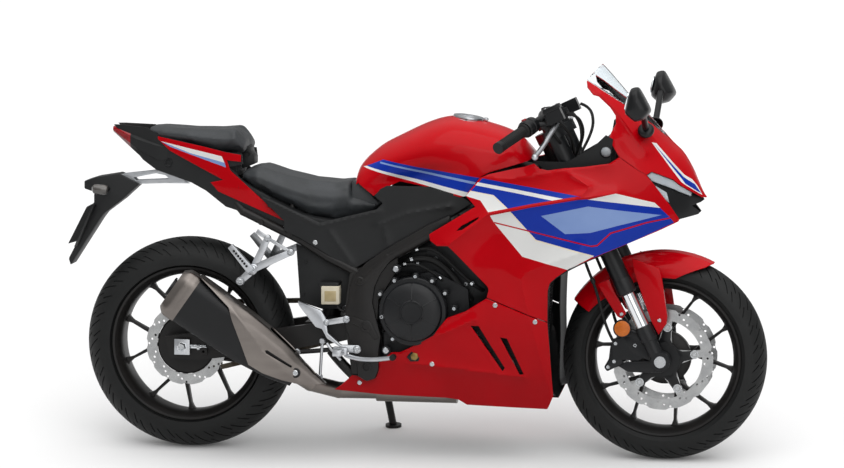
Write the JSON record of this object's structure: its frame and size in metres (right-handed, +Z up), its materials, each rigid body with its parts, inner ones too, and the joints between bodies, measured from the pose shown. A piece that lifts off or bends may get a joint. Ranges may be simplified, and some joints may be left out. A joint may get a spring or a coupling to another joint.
{
  "type": "sport bike",
  "caption": "Fully faired road sport bike parked on its side stand, with turning wheels, steering fork, folding stand and hinged fuel cap.",
  "frame": {"origin": "middle of the bounding box at floor level, under the bike as it parks leaning on its stand", "axes": "+X to the front wheel, +Y to the rider's left, +Z up from the floor"},
  "size_m": [2.0766, 0.763, 1.1472],
  "materials": {
    "red_plastic": "gloss",
    "red_metal": "gloss",
    "black_plastic": "satin",
    "black_metal": "satin",
    "engine_black": "satin",
    "steel": "brushed",
    "chain_steel": "satin",
    "bright": "polished",
    "tyre": "matte",
    "rubber": "matte",
    "seat": "textured",
    "clear": "gloss",
    "lamp": "gloss",
    "red_lens": "gloss",
    "smoke_lens": "gloss",
    "titanium": "brushed",
    "alloy": "satin",
    "caliper": "satin",
    "cream": "translucent"
  },
  "bodies": {
    "chassis": {"frame": "black_metal", "swingarm": "black_metal", "engine": "engine_black", "engine_covers": "engine_black", "exhaust": "titanium", "muffler": "black_metal", "muffler_shield": "titanium", "radiator": "black_metal", "fuel_tank": "red_metal", "rider_seat": "seat", "passenger_seat": "seat", "tail_cowls": "red_plastic", "undertray": "black_plastic", "tail_light": "red_lens", "plate_holder": "black_plastic", "rear_indicators": "smoke_lens", "side_covers": "black_plastic", "nose_cowl": "red_plastic", "windscreen": "clear", "headlight": "lamp", "nose_chin": "black_plastic", "side_fairings": "red_plastic", "belly_fairings": "red_plastic", "inner_panels": "black_plastic", "instrument": "black_plastic", "mirrors": "black_plastic", "footrests": "alloy", "passenger_pegs": "alloy", "rear_caliper": "caliper", "rear_reservoir": "cream", "rear_shock": "black_metal", "chain": "chain_steel", "rear_axle": "steel"},
    "steering": {"fork_uppers": "black_metal", "fork_stanchions": "bright", "fork_feet": "black_metal", "triple_clamps": "black_metal", "handlebars": "black_metal", "grips": "rubber", "front_mudguard": "red_plastic", "front_calipers": "caliper", "front_axle": "steel"},
    "front_wheel_body": {"front_tyre": "tyre", "front_wheel": "black_metal", "front_discs": "steel"},
    "rear_wheel_body": {"rear_tyre": "tyre", "rear_wheel": "black_metal", "rear_disc": "steel", "rear_sprocket": "chain_steel"},
    "fuel_cap_body": {"fuel_cap": "black_metal"},
    "side_stand_body": {"side_stand": "black_metal"}
  },
  "joints": [
    {"name": "steering", "type": "hinge", "parent": "chassis", "child": "steering", "pos_m": [0.45284, -0.03282, 0.80606], "axis": [-0.4305, 0.1178, 0.8949], "range_deg": [-30, 30]},
    {"name": "front_wheel_spin", "type": "hinge", "parent": "steering", "child": "front_wheel_body", "pos_m": [0.7383, -0.09969, 0.29812], "axis": [0, 0.9914, -0.1305], "continuous": true},
    {"name": "rear_wheel_spin", "type": "hinge", "parent": "chassis", "child": "rear_wheel_body", "pos_m": [-0.6717, -0.09812, 0.31002], "axis": [0, 0.9914, -0.1305], "continuous": true},
    {"name": "side_stand", "type": "hinge", "parent": "chassis", "child": "side_stand_body", "pos_m": [-0.1359, 0.06224, 0.24099], "axis": [-0.2419, 0.962, -0.1266], "range_deg": [0, 95]},
    {"name": "fuel_cap", "type": "hinge", "parent": "chassis", "child": "fuel_cap_body", "pos_m": [0.20542, -0.00998, 0.97955], "axis": [0, 0.9914, -0.1305], "range_deg": [0, 95]}
  ]
}
